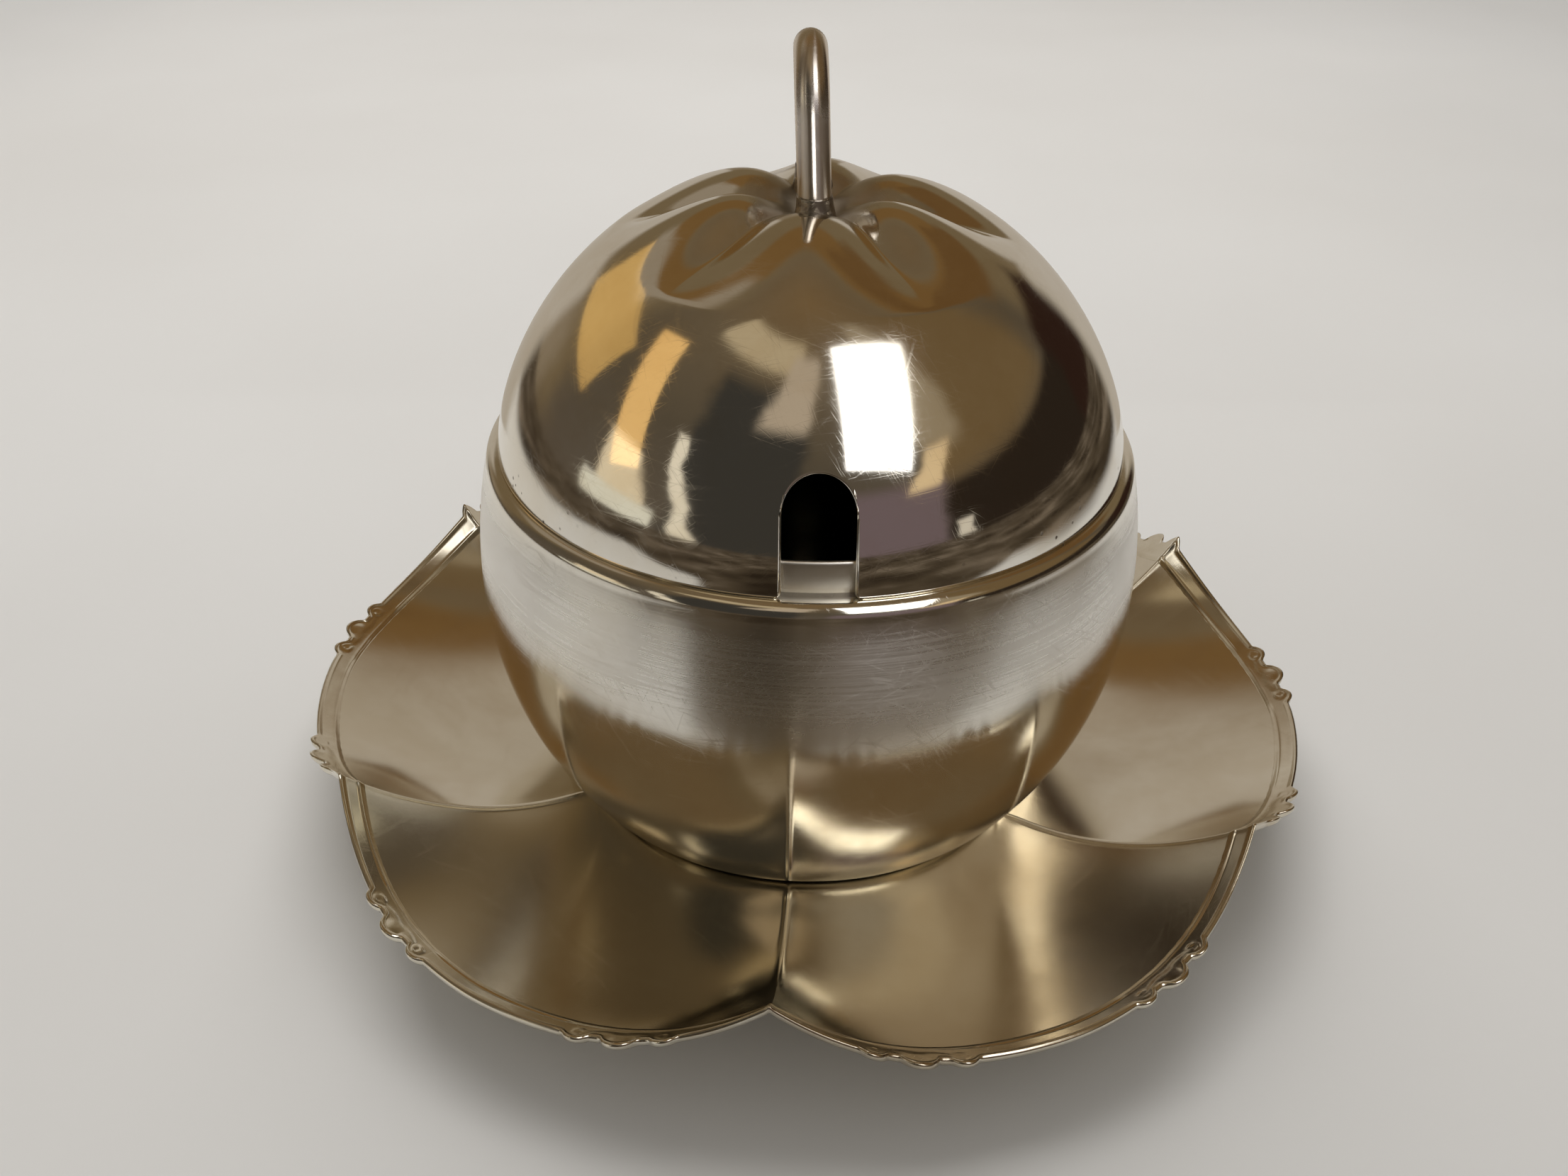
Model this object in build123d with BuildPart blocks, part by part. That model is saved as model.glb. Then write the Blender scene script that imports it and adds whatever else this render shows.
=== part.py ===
from build123d import *
from math import comb, cos, exp, pi, radians, sin, tan
import os
import numpy as np

# Lidded preserve pot in silver plate: an apple-shaped pot with a lobed lift-off lid, a wire loop
# handle and a spoon notch, fixed on a six-petal dish. Millimetres, +Z up, the spoon notch faces -Y.
# The origin is the centre of the foot ring on the table.

# Heights above the table
dish_floor_z = 4.0            # upper side of the dish under the pot
seat_z = 4.3                  # top of the raised disc that the pot stands on
shoulder_z = 56.0             # flat shoulder of the pot, where the lid rests
collar_top_z = 60.0

# Sheet gauges
dish_sheet = 0.9
pot_sheet = 0.9
lid_sheet = 0.8
collar_sheet = 0.8

# Dish
petal_count = 6
pattern_turn = -4.3           # degrees that the petals are turned from the notch
ridge_start_r = 38.0          # where the ridges and petals rise out of the flat middle
ridge_end_r = 66.85
petal_end_r = 70.9
edge_power = 1.5              # the edge curves in from the middle of a petal to its ridges
ridge_rise = 15.6             # ridge above the floor, at the ridge's end
petal_rise = 8.4              # middle of a petal above the floor, at the edge
round_share = 0.3             # across a petal: this share round, the rest flat with steeper sides
border_width = 2.4
border_thickness = 1.5
border_lift = 0.35            # border above the dish's upper side
ruffle_count = 13             # groups of small scrolls along the border
foot_outer_r = 33.0
foot_inner_r = 31.0
trim_height = 40.0            # the outlines that trim the dish's sheets are this tall

# Pot
pot_base_r = 32.0
pot_heel_r = 36.2
pot_belly_r = 45.8
mouth_r = 40.3                # hole in the shoulder, which the collar fills
liner_top_z = 53.5
liner_wall = 2.2
liner_bottom = 3.0            # thickness of the glass under the preserve

# Lid
lid_r = 42.0
lid_height = 35.0
dome_power = 2.2              # shape of the lid's dome, as a superellipse
dome_flat = 0.62
well_depth = 5.4              # dip around the handle
well_r = 6.8
crease_depth = 2.6
crease_in_r = 4.0
crease_out_r = 26.0           # the creases fade out into the round dome here
front_lobe_angle = 72.0       # the lobe over the notch is wider than the other five
well_hole_r = 3.0             # the lobes start here, around a small flat disc
crown_sheet = 1.0             # upright thickness of the lobed crown
lobe_turn = -96.5             # direction of the front lobe's middle
other_lobe_count = 5
notch_width = 8.4
notch_spring_z = 9.6          # above the lid's edge, where the notch's round top begins
notch_start_r = 30.0          # the notch is cut outwards from here
crown_step = 0.06             # keeps the plain dome just under the crown's edge

# Handle
wire_r = 2.05
handle_half_span = 6.0
handle_top_z = 108.3
handle_lean = 2.5             # degrees, to the left
handle_foot_rise = 27.0       # the loop starts this far above the lid's edge, inside the crown


def petal_share(angle):
    """0 in the middle of a petal and 1 on the ridge beside it."""
    pitch = 360 / petal_count
    from_ridge = (angle + 90 - pattern_turn) % pitch
    return abs(from_ridge - pitch / 2) / (pitch / 2)


def edge_point(angle, widen):
    """Point on the dish's edge in a given direction, moved out by widen."""
    reach = ridge_end_r + (petal_end_r - ridge_end_r) * (1 - petal_share(angle) ** edge_power) + widen
    return (reach * cos(radians(angle)), reach * sin(radians(angle)))


def petal_edge(petal, widen):
    """Points along the edge of one petal, from ridge to ridge."""
    pitch = 360 / petal_count
    start = -90 + pattern_turn + petal * pitch
    return [edge_point(start + pitch * share, widen) for share in (0, 0.08, 0.2, 0.5, 0.8, 0.92, 1)]


def petal_face(lift):
    """Upper face of one petal, along +X: hollow in the middle, and rising to a ridge on each side."""
    half = radians(180 / petal_count)
    near = ridge_start_r * cos(half)
    far = petal_end_r + 8
    ridge = ridge_rise * ((far - near) / ((ridge_end_r + border_width) * cos(half) - near)) ** 2
    petal = petal_rise * ((far - near) / (petal_end_r + border_width - near)) ** 2
    net = []
    for side, round_part, flat_part in ((-1, 1, 1), (-0.5, 0, -1), (0, -1 / 3, 1), (0.5, 0, -1), (1, 1, 1)):
        rise = petal + (ridge - petal) * (round_share * round_part + (1 - round_share) * flat_part)
        net.append([(reach, side * reach * tan(half), dish_floor_z + lift + rise * (reach == far))
                    for reach in (near, (near + far) / 2, far)])
    return Face.make_bezier_surface(net)


def dome_height(r):
    """Height of the lid's crests above the lid's edge."""
    dome = lid_height * (1 - min(r / lid_r, 1) ** dome_power) ** dome_flat
    return dome - well_depth * exp(-((r / well_r) ** 2))


def crease_height(r):
    """Height of the creases between the lobes above the lid's edge."""
    fade = sin(pi * min(max((r - crease_in_r) / (crease_out_r - crease_in_r), 0), 1))
    return dome_height(r) - crease_depth * fade


def bezier_controls(values):
    """Control values of the Bezier curve that passes through evenly spaced values."""
    degree = len(values) - 1
    basis = [[comb(degree, k) * (i / degree) ** k * (1 - i / degree) ** (degree - k)
              for k in range(degree + 1)] for i in range(degree + 1)]
    return np.linalg.solve(np.array(basis), np.array(values))


def lobe_face(half_angle):
    """Upper face of one lobe of the lid, along +X, from crease to crease."""
    half = radians(half_angle)
    steps = 8
    radii = [well_hole_r + (crease_out_r + 1 - well_hole_r) * i / steps for i in range(steps + 1)]
    crease = bezier_controls([crease_height(r) for r in radii])
    crest = bezier_controls([dome_height(r) for r in radii])
    net = []
    for side in (-1, 0, 1):
        width = 2 - cos(half) if side == 0 else cos(half)
        heights = 2 * crest - crease if side == 0 else crease
        net.append([(r * width, side * r * sin(half), shoulder_z + z) for r, z in zip(radii, heights)])
    return Face.make_bezier_surface(net)


other_lobe_angle = (360 - front_lobe_angle) / other_lobe_count
lobes = [(lobe_turn, front_lobe_angle / 2)]
for lobe in range(other_lobe_count):
    lobes.append((lobe_turn + front_lobe_angle / 2 + (lobe + 0.5) * other_lobe_angle, other_lobe_angle / 2))
lobe_faces = [lobe_face(half).rotate(Axis.Z, turn) for turn, half in lobes]
petal_turns = [-90 + pattern_turn + 360 / petal_count * (petal + 0.5) for petal in range(petal_count)]

# Foot ring under the dish
with BuildPart() as foot_ring:
    with BuildSketch():
        Circle(foot_outer_r)
        Circle(foot_inner_r, mode=Mode.SUBTRACT)
    extrude(amount=dish_floor_z - dish_sheet)
    chamfer(foot_ring.edges().group_by(Axis.Z)[0], 0.4)
foot_ring.part.label = "foot_ring"

# Petal dish: a thin pressed sheet, flat in the middle, with a disc for the pot
with BuildPart() as petal_dish:
    for turn in petal_turns:
        extrude(petal_face(0).rotate(Axis.Z, turn), amount=dish_sheet, dir=(0, 0, -1))
    with BuildSketch(Plane.XY.offset(dish_floor_z)):
        RegularPolygon(ridge_start_r, petal_count, rotation=petal_turns[0] + 180 / petal_count)
    extrude(amount=-dish_sheet)
    with BuildSketch() as dish_outline:
        with BuildLine():
            for petal in range(petal_count):
                Spline(*petal_edge(petal, 0))
        make_face()
    extrude(amount=trim_height, mode=Mode.INTERSECT)
    with BuildSketch(Plane.XY.offset(dish_floor_z - dish_sheet / 2)):
        Circle(pot_base_r - 2)
    extrude(amount=seat_z - dish_floor_z + dish_sheet / 2)
petal_dish.part.label = "petal_dish"

# Border soldered around the dish's edge, with groups of scrolls
with BuildPart() as dish_border:
    for turn in petal_turns:
        extrude(petal_face(border_lift).rotate(Axis.Z, turn), amount=border_thickness, dir=(0, 0, -1))
    with BuildSketch():
        with BuildLine():
            for petal in range(petal_count):
                Spline(*petal_edge(petal, border_width))
        make_face()
        for ruffle in range(ruffle_count):
            middle = 90 + pattern_turn + 360 * ruffle / ruffle_count
            for shift, lobe_r in ((-4.2, 1.9), (0, 2.4), (4.2, 1.9)):
                with Locations(edge_point(middle + shift, border_width - 1)):
                    Circle(lobe_r)
        add(dish_outline.sketch, mode=Mode.SUBTRACT)
    extrude(amount=trim_height, mode=Mode.INTERSECT)
dish_border.part.label = "dish_border"

# Pot: spun shell with a flat base and a flat shoulder
shoulder_edge_r = 42.5
belly_z = 37.5
wall_points = [(pot_heel_r, 6.6), (42.4, 19.0), (pot_belly_r, belly_z), (45.1, 48.0), (43.7, 54.2)]
with BuildPart() as pot_body:
    with BuildSketch(Plane.XZ):
        with BuildLine():
            Line((0, seat_z), (pot_base_r, seat_z))
            Spline((pot_base_r, seat_z), wall_points[0], tangents=((1, 0), (0.62, 0.78)))
            Spline(*wall_points, tangents=((0.55, 0.83), (-0.45, 0.9)))
            Spline(wall_points[-1], (shoulder_edge_r, shoulder_z), tangents=((-0.45, 0.9), (-1, 0)))
            Line((shoulder_edge_r, shoulder_z), (mouth_r, shoulder_z))
            Line((mouth_r, shoulder_z), (mouth_r, shoulder_z - pot_sheet))
            inner_points = [(r - pot_sheet, z) for r, z in wall_points]
            Spline((mouth_r, shoulder_z - pot_sheet), inner_points[-1], tangents=((1, 0), (0.45, -0.9)))
            Spline(*inner_points[::-1], tangents=((0.45, -0.9), (-0.55, -0.83)))
            floor_z = seat_z + pot_sheet
            Spline(inner_points[0], (pot_base_r - 1, floor_z), tangents=((-0.62, -0.78), (-1, 0)))
            Line((pot_base_r - 1, floor_z), (0, floor_z))
            Line((0, floor_z), (0, seat_z))
        make_face()
    revolve(axis=Axis.Z)
pot_body.part.label = "pot_body"

# Collar: upright strip soldered in the pot's mouth, which centres the lid
collar_foot_z = shoulder_z - 3.0
with BuildPart() as collar:
    with BuildSketch(Plane.XY.offset(collar_foot_z)):
        Circle(mouth_r)
        Circle(mouth_r - collar_sheet, mode=Mode.SUBTRACT)
    extrude(amount=collar_top_z - collar_foot_z)
    fillet(collar.edges().group_by(Axis.Z)[-1], collar_sheet * 0.4)
collar.part.label = "collar"

# Glass liner standing loose in the pot
liner_foot_r = 30.5
liner_top_r = 38.4
liner_floor_z = seat_z + pot_sheet
with BuildPart() as liner:
    with BuildSketch(Plane.XZ):
        with BuildLine():
            Polyline((0, liner_floor_z), (liner_foot_r, liner_floor_z),
                     (liner_foot_r + 2.5, liner_floor_z + 5),
                     (liner_top_r, liner_top_z - 12), (liner_top_r, liner_top_z),
                     (liner_top_r - liner_wall, liner_top_z), (liner_top_r - liner_wall, liner_top_z - 12),
                     (liner_foot_r + 2.5 - liner_wall, liner_floor_z + 5.6),
                     (liner_foot_r - liner_wall, liner_floor_z + liner_bottom),
                     (0, liner_floor_z + liner_bottom), close=True)
        make_face()
    revolve(axis=Axis.Z)
    fillet(liner.edges().filter_by(GeomType.CIRCLE).group_by(Axis.Z)[-1], liner_wall * 0.45)
liner.part.label = "glass_liner"

# Lid: round dome below, lobed crown above, with the spoon notch in front
crown_joint_r = crease_out_r
with BuildPart() as lid:
    radii = [crown_joint_r, 30, 34, 37.5, 40, 41.4]
    outside = [(r, shoulder_z + dome_height(r) - crown_step) for r in radii]
    inside = [(r - lid_sheet * 0.8, z - lid_sheet * 0.55) for r, z in outside[1:]]
    inside_top = (crown_joint_r, outside[0][1] - lid_sheet)
    with BuildSketch(Plane.XZ):
        with BuildLine():
            Spline(*outside, (lid_r, shoulder_z + 0.4))
            Line((lid_r, shoulder_z + 0.4), (lid_r, shoulder_z))
            Line((lid_r, shoulder_z), (lid_r - lid_sheet, shoulder_z))
            Spline((lid_r - lid_sheet, shoulder_z), *inside[::-1], inside_top)
            Line(inside_top, outside[0])
        make_face()
    revolve(axis=Axis.Z)
    with BuildPart(mode=Mode.PRIVATE) as crown:
        for face in lobe_faces:
            extrude(face, amount=crown_sheet, dir=(0, 0, -1))
        with BuildSketch(Plane.XY.offset(shoulder_z + dome_height(0) - crown_sheet)):
            Circle(well_hole_r + 1.5)
        extrude(amount=crown_sheet + 0.1)
        with BuildSketch():
            Circle(crown_joint_r)
        extrude(amount=shoulder_z + 2 * lid_height, mode=Mode.INTERSECT)
    add(crown.part)
    with BuildSketch(Plane.XZ.offset(notch_start_r)):
        with Locations((0, shoulder_z + notch_spring_z)):
            Circle(notch_width / 2)
        with Locations((0, shoulder_z + notch_spring_z)):
            Rectangle(notch_width, notch_spring_z + 2, align=(Align.CENTER, Align.MAX))
    extrude(amount=lid_r + 2 - notch_start_r, mode=Mode.SUBTRACT)
lid.part.label = "lid"

# Handle: a wire loop that stands on the crown
lean = radians(handle_lean)
handle_foot_z = shoulder_z + handle_foot_rise
arch_z = handle_top_z - wire_r - handle_half_span - handle_foot_z
handle_plane = Plane(origin=(0, 0, handle_foot_z), x_dir=(0, 1, 0), z_dir=(cos(lean), 0, sin(lean)))
with BuildPart(mode=Mode.PRIVATE) as crown_fill:
    for face in lobe_faces:
        extrude(face, amount=20, dir=(0, 0, -1))
with BuildPart() as handle:
    with BuildLine(handle_plane) as loop:
        Line((-handle_half_span, 0), (-handle_half_span, arch_z))
        RadiusArc((-handle_half_span, arch_z), (handle_half_span, arch_z), handle_half_span)
        Line((handle_half_span, arch_z), (handle_half_span, 0))
    with BuildSketch(Plane(origin=loop.line @ 0, z_dir=loop.line % 0)):
        Circle(wire_r)
    sweep(path=loop.line)
    add(crown_fill.part, mode=Mode.SUBTRACT)
handle.part.label = "handle"

# Solder fillets around the handle's two feet
solder_foot = 3.6             # along the handle's legs, below the crown's surface
solder_height = 4.1
solder_spread = 1.2
os.makedirs("parts", exist_ok=True)
for side, name in ((-1, "solder_front"), (1, "solder_back")):
    foot_plane = Plane(origin=handle_plane.from_local_coords((side * handle_half_span, solder_foot, 0)),
                       z_dir=handle_plane.y_dir)
    with BuildPart() as solder:
        with BuildSketch(foot_plane):
            Circle(wire_r + solder_spread)
        with BuildSketch(foot_plane.offset(solder_height)):
            Circle(wire_r + 0.15)
        loft()
        with BuildSketch(foot_plane):
            Circle(wire_r)
        extrude(amount=solder_height, mode=Mode.SUBTRACT)
        add(crown_fill.part, mode=Mode.SUBTRACT)
    solder.part.label = name
    export_step(solder.part, f"parts/{name}.step")

for piece in (foot_ring, petal_dish, dish_border, pot_body, collar, liner, lid, handle):
    export_step(piece.part, f"parts/{piece.part.label}.step")
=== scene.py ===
from math import asin, atan2, cos, pi, radians, sin, sqrt, tan

import bpy
import numpy as np
from mathutils import Matrix, Quaternion, Vector


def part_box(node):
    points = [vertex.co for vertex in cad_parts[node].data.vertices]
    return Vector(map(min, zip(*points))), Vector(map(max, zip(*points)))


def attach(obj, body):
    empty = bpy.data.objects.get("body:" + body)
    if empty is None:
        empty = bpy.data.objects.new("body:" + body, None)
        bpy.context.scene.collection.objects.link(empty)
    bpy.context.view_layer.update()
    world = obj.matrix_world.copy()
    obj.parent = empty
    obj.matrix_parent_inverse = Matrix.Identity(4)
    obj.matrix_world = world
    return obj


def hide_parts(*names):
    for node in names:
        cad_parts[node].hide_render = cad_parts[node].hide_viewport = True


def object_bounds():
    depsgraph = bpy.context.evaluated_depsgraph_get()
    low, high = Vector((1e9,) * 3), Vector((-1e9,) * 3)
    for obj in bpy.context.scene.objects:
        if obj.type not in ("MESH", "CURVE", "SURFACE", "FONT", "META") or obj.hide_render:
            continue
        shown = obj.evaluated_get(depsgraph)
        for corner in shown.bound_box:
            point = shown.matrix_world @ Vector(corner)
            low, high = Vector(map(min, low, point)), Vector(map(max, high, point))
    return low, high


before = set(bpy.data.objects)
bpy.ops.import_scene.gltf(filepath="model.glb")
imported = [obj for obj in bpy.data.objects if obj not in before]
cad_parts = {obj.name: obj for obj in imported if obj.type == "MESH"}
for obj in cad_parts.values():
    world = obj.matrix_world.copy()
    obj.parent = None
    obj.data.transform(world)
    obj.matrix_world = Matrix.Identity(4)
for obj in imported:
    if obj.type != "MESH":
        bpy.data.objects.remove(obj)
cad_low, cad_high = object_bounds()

# Silver-plated preserve pot on a petal dish. Metres and degrees, +Z up, the spoon notch faces -Y.
# The CAD parts give every place and size. The meshes here follow the same surfaces more finely.
MM = 0.001
table_z = cad_low.z

# ---------------------------------------------------------------- sizes read from the frame

lid_low, lid_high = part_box("lid")
lid_r = (lid_high.x - lid_low.x) / 2
lid_rim_z = lid_low.z
lid_height = lid_r * 35 / 42          # the dome's height if it had no dip under the handle
dome_power = 2.2
dome_flat = 0.62
well_depth = 5.4 * MM
well_r = 6.8 * MM
crease_depth = 2.6 * MM
crease_in_r = 4.0 * MM
crease_out_r = 26.0 * MM
lid_sheet = 0.8 * MM
front_lobe_angle = 72.0
lobe_turn = -96.5
other_lobes = 5
notch_half = 4.2 * MM
notch_spring = 9.6 * MM               # above the rim, where the notch's round top begins
notch_turn = -90.0

pot_low, pot_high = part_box("pot_body")
belly_r = (pot_high.x - pot_low.x) / 2
seat_z = pot_low.z
shoulder_z = pot_high.z
belly_z = seat_z + 33.2 * MM
pot_sheet = 0.9 * MM

collar_low, collar_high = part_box("collar")
mouth_r = (collar_high.x - collar_low.x) / 2
collar_sheet = 0.8 * MM

liner_low, liner_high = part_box("glass_liner")
liner_top_r = (liner_high.x - liner_low.x) / 2
liner_wall = 2.2 * MM

foot_low, foot_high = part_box("foot_ring")
foot_outer_r = (foot_high.x - foot_low.x) / 2
foot_inner_r = foot_outer_r - 2 * MM
dish_sheet = 0.9 * MM
dish_floor_z = foot_high.z + dish_sheet
petals = 6
pattern_turn = -4.3
ridge_start_r = 38.0 * MM
ridge_end_r = 66.85 * MM
petal_end_r = 70.9 * MM
edge_power = 1.5
ridge_rise = 15.6 * MM
petal_rise = 8.4 * MM
round_share = 0.3                     # across a petal: this share round, the rest flat with steeper sides
border_width = 2.4 * MM
ruffles = 13
seat_disc_r = 30.0 * MM

handle_low, handle_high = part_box("handle")
wire_r = 2.05 * MM
handle_half_span = (handle_high.y - handle_low.y) / 2 - wire_r
handle_lean = radians(2.5)
handle_foot_z = lid_rim_z + 27 * MM


# ---------------------------------------------------------------- camera

def make_camera():
    """Looks down on the front, a little from the left, from arm's length."""
    place = Vector((-5.65, -179.66, 148.6)) * MM
    down, turn, roll = radians(33.43), radians(0.76), radians(0.786)
    forward = Vector((sin(turn) * cos(down), cos(turn) * cos(down), -sin(down)))
    level = Vector((cos(turn), -sin(turn), 0))
    upward = level.cross(forward)
    right = level * cos(roll) + upward * sin(roll)
    top = upward * cos(roll) - level * sin(roll)
    data = bpy.data.cameras.new("camera")
    data.sensor_width = 36
    data.lens = 33.84
    data.clip_start = 0.01
    data.clip_end = 20
    camera = bpy.data.objects.new("camera", data)
    bpy.context.scene.collection.objects.link(camera)
    camera.matrix_world = Matrix.Translation(place) @ Matrix((right, top, -forward)).transposed().to_4x4()
    bpy.context.scene.camera = camera


# ---------------------------------------------------------------- materials

class Nodes:
    """A material or world node tree, with short calls for the nodes used here."""

    def __init__(self, tree):
        self.tree = tree
        tree.nodes.clear()

    def add(self, kind, inputs=(), **settings):
        node = self.tree.nodes.new(kind)
        for key, value in settings.items():
            setattr(node, key, value)
        for key, value in dict(inputs).items():
            socket = node.inputs[key]
            if isinstance(value, bpy.types.NodeSocket):
                self.tree.links.new(value, socket)
            else:
                socket.default_value = value
        return node

    def math(self, operation, first, second=0.0):
        return self.add("ShaderNodeMath", {0: first, 1: second}, operation=operation).outputs[0]

    def ramp(self, value, low, high, out_low=0.0, out_high=1.0):
        """Smooth step from out_low to out_high as value goes from low to high."""
        node = self.add("ShaderNodeMapRange", interpolation_type="SMOOTHSTEP")
        for key, item in ((0, value), (1, low), (2, high), (3, out_low), (4, out_high)):
            if isinstance(item, bpy.types.NodeSocket):
                self.tree.links.new(item, node.inputs[key])
            else:
                node.inputs[key].default_value = item
        return node.outputs[0]

    def colours(self, value, *stops):
        """Colour ramp. Each stop is (place, (red, green, blue))."""
        node = self.add("ShaderNodeValToRGB", {0: value})
        elements = node.color_ramp.elements
        while len(elements) < len(stops):
            elements.new(0.5)
        for element, (place, colour) in zip(elements, stops):
            element.position = place
            element.color = (*colour, 1)
        return node.outputs[0]

    def mix(self, share, first, second):
        """Blend of two colours."""
        node = self.add("ShaderNodeMix", data_type="RGBA")
        for key, item in ((0, share), (6, first), (7, second)):
            if isinstance(item, bpy.types.NodeSocket):
                self.tree.links.new(item, node.inputs[key])
            else:
                node.inputs[key].default_value = (*item, 1) if isinstance(item, tuple) else item
        return node.outputs[2]

    def noise(self, vector, scale, detail=2.0, roughness=0.5, distortion=0.0):
        node = self.add("ShaderNodeTexNoise", {"Vector": vector, "Scale": scale, "Detail": detail,
                                               "Roughness": roughness, "Distortion": distortion})
        return node.outputs[0]

    def wobble(self, noise, size):
        """Noise moved to lie around 0, with size as its full spread."""
        return self.math("MULTIPLY", self.math("SUBTRACT", noise, 0.5), size)

    def stretch(self, vector, scale, turn=None):
        """Scales a vector, after turning it by angles about X, Y and Z if asked."""
        if turn:
            vector = self.add("ShaderNodeMapping", {"Vector": vector, "Rotation": turn}).outputs[0]
        return self.add("ShaderNodeMapping", {"Vector": vector, "Scale": scale}).outputs[0]

    def around(self, vector):
        """Vector of (angle about Z in turns, distance from Z, height), in the piece's own space."""
        x, y, z = self.add("ShaderNodeSeparateXYZ", {0: vector}).outputs
        angle = self.math("ARCTAN2", y, x)
        squares = self.math("ADD", self.math("MULTIPLY", x, x), self.math("MULTIPLY", y, y))
        reach = self.math("SQRT", squares)
        both = self.add("ShaderNodeCombineXYZ", {0: self.math("DIVIDE", angle, 2 * pi), 1: reach, 2: z})
        return both.outputs[0], reach, z


def new_material(name):
    material = bpy.data.materials.new(name)
    material.use_nodes = True
    return material, Nodes(material.node_tree)


def scratches(nodes, place, across, along, seed_turn):
    """Thin random scratches in several directions, as a value from 0 to 1."""
    total = None
    for step in range(4):
        turn = (seed_turn + 0.9 * step, 0.5 + 1.3 * step, 0.4 + 0.77 * step)
        bent = nodes.stretch(place, (across, along, along), turn)
        thin = nodes.ramp(nodes.noise(bent, 1.0, 1.0, 0.4, 0.25), 0.66, 0.74)
        total = thin if total is None else nodes.math("MAXIMUM", total, thin)
    return total


def silver(name, bright, worn, smooth, rough, brushed=0.0, brush_low=0.0, brush_high=0.0, haze=0.5,
           pits_z=None, dull_r=0.0, scratch=1.0, drawn=0.0):
    """Silver plate, from mirror to satin, with cloudy wear and fine scratches.

    If asked: brushing round Z between two heights, pits just above pits_z, tarnish within dull_r of
    the axis, and reflections that spread along Z, as on drawn wire.
    """
    material, nodes = new_material(name)
    place = nodes.add("ShaderNodeTexCoord").outputs["Object"]
    turned, reach, height = nodes.around(place)
    cloud = nodes.noise(place, 42.0, 4.0, 0.55, 0.6)
    cloud_fine = nodes.noise(place, 260.0, 3.0, 0.6, 0.2)
    tarnish = nodes.ramp(nodes.math("ADD", nodes.math("MULTIPLY", cloud, 0.75),
                                    nodes.math("MULTIPLY", cloud_fine, 0.25)), 0.42, 0.66)
    colour = nodes.mix(nodes.math("MULTIPLY", tarnish, haze), bright, worn)
    lines = scratches(nodes, place, 3200.0, 90.0, 0.3)
    hair = scratches(nodes, place, 8000.0, 260.0, 1.7)
    marks = nodes.math("ADD", nodes.math("MULTIPLY", lines, 0.5 * scratch),
                       nodes.math("MULTIPLY", hair, 0.5 * scratch))
    finish = nodes.ramp(cloud, 0.35, 0.7, smooth, rough)
    finish = nodes.math("ADD", finish, nodes.math("MULTIPLY", marks, 0.08))
    bumps = nodes.math("MULTIPLY", marks, -0.2)
    if brushed:
        brush_place = nodes.stretch(turned, (9.0, 40.0, 4800.0))
        brush = nodes.noise(brush_place, 1.0, 3.0, 0.6)
        low = nodes.ramp(height, brush_low - 0.006, brush_low + 0.004)
        high = nodes.ramp(height, brush_high - 0.003, brush_high + 0.003, 1.0, 0.0)
        zone = nodes.math("MULTIPLY", low, high)
        strength = nodes.math("MULTIPLY", zone, brushed)
        bumps = nodes.math("ADD", bumps, nodes.math("MULTIPLY", brush, strength))
        grooves = nodes.math("MULTIPLY", nodes.ramp(brush, 0.38, 0.62), strength)
        colour = nodes.mix(nodes.math("MULTIPLY", strength, 0.8), colour, (0.94, 0.92, 0.87))
        finish = nodes.math("ADD", finish, nodes.math("MULTIPLY", strength, 0.18))
        finish = nodes.math("ADD", finish, nodes.math("MULTIPLY", grooves, 0.05))
    if pits_z:
        cells = nodes.add("ShaderNodeTexVoronoi", {"Vector": place, "Scale": 620.0}, distance="EUCLIDEAN")
        dot = nodes.ramp(cells.outputs["Distance"], 0.10, 0.20, 1.0, 0.0)
        patchy = nodes.ramp(nodes.noise(place, 150.0, 2.0), 0.52, 0.66)
        near_edge = nodes.ramp(height, pits_z, pits_z + 0.007, 1.0, 0.0)
        pits = nodes.math("MULTIPLY", nodes.math("MULTIPLY", dot, patchy), near_edge)
        colour = nodes.mix(pits, colour, (0.10, 0.07, 0.05))
        finish = nodes.math("ADD", finish, nodes.math("MULTIPLY", pits, 0.4))
        bumps = nodes.math("SUBTRACT", bumps, nodes.math("MULTIPLY", pits, 1.5))
    if dull_r:
        ragged = nodes.math("ADD", reach, nodes.wobble(cloud_fine, 0.008))
        dull = nodes.ramp(ragged, dull_r - 0.0025, dull_r + 0.0015, 1.0, 0.0)
        colour = nodes.mix(nodes.math("MULTIPLY", dull, 0.65), colour, (0.42, 0.39, 0.34))
        finish = nodes.math("ADD", finish, nodes.math("MULTIPLY", dull, 0.26))
    bump = nodes.add("ShaderNodeBump", {"Height": bumps, "Strength": 0.10, "Distance": 0.00006})
    shader = nodes.add("ShaderNodeBsdfPrincipled", {"Base Color": colour, "Metallic": 1.0,
                                                    "Roughness": finish, "Normal": bump.outputs[0]})
    if drawn:
        round_z = nodes.add("ShaderNodeTangent", direction_type="RADIAL", axis="Z")
        nodes.tree.links.new(round_z.outputs[0], shader.inputs["Tangent"])
        shader.inputs["Anisotropic"].default_value = drawn
        shader.inputs["Anisotropic Rotation"].default_value = 0.25
    nodes.add("ShaderNodeOutputMaterial", {"Surface": shader.outputs[0]})
    return material


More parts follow.
